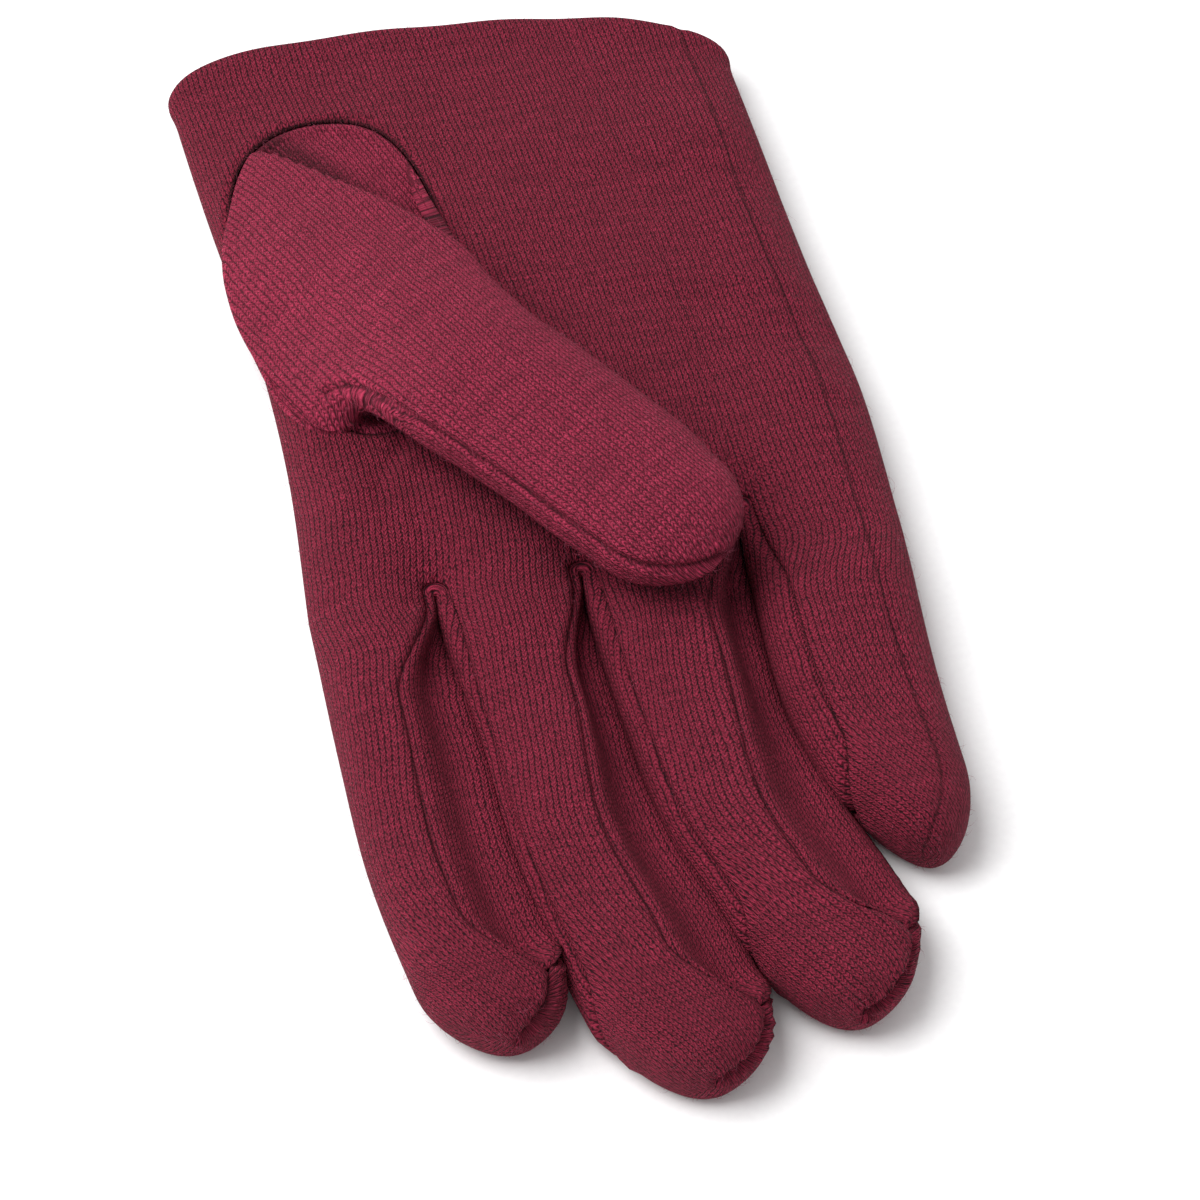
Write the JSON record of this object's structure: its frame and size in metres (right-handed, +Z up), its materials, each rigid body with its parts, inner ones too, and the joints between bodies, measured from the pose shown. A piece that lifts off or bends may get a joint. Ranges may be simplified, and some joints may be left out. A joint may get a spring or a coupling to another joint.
{
  "type": "glove liner",
  "caption": "Fine-knit wool glove liner for the right hand, palm up with the thumb folded over the palm, with forked side strips between the fingers and an open hemmed cuff.",
  "frame": {"origin": "middle of the glove's footprint, on the surface that its back lies on", "axes": "+Z up out of the palm, +Y towards the cuff, fingertips towards -Y, thumb side towards -X"},
  "size_m": [0.0924, 0.2056, 0.0286],
  "materials": {
    "knit": "matt fine wool jersey knit, slightly melange"
  },
  "bodies": {
    "root": {"palm_and_back": "knit", "fourchette_index_middle": "knit", "fourchette_middle_ring": "knit", "fourchette_ring_little": "knit", "thumb": "knit"}
  },
  "joints": []
}
